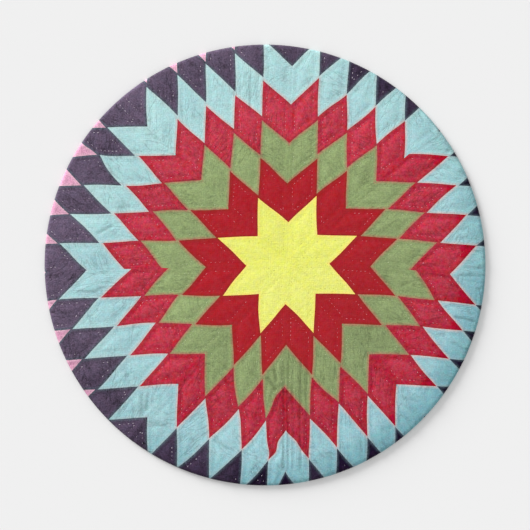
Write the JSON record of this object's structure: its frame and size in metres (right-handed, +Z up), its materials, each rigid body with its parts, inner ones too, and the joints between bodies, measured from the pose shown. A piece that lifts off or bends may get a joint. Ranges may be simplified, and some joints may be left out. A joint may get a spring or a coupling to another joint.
{
  "type": "round patchwork quilt",
  "caption": "Round patchwork quilt with a pieced star of diamonds, outline-quilted in low relief with a knife edge; lies flat on its backing.",
  "frame": {"origin": "on the surface that the quilt lies on, under the middle of the round", "axes": "+Z up out of the pieced top, +Y towards the picture's upper edge, +X to its right"},
  "size_m": [0.59, 0.59, 0.0068],
  "materials": {
    "patchwork_cotton": "matte woven cotton, pieced in seven plain colours and hand quilted"
  },
  "bodies": {
    "root": {"quilt": "patchwork_cotton"}
  },
  "joints": []
}
